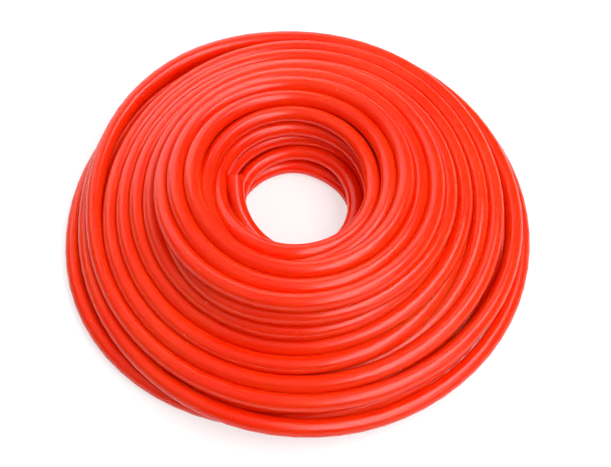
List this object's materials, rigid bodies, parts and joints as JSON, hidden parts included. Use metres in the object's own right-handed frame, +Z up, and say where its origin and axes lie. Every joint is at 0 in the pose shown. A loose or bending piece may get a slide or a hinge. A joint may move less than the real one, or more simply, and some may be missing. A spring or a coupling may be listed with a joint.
{
  "type": "coil of rubber vacuum tubing",
  "caption": "Coil of thick-walled red rubber vacuum tubing wound round an open eye, with both ends cut square and open to push over a hose barb.",
  "frame": {"origin": "on the floor, on the axis of the coil's eye", "axes": "+Z up along the coil's axis, -Y towards the front of the picture, +X to its right"},
  "size_m": [0.289, 0.289, 0.0576],
  "materials": {
    "red_rubber": "satin orange-red silicone rubber, slightly translucent, with a soft sheen and a few specks of dust"
  },
  "bodies": {
    "root": {"vacuum_tubing": "red_rubber"}
  },
  "joints": []
}
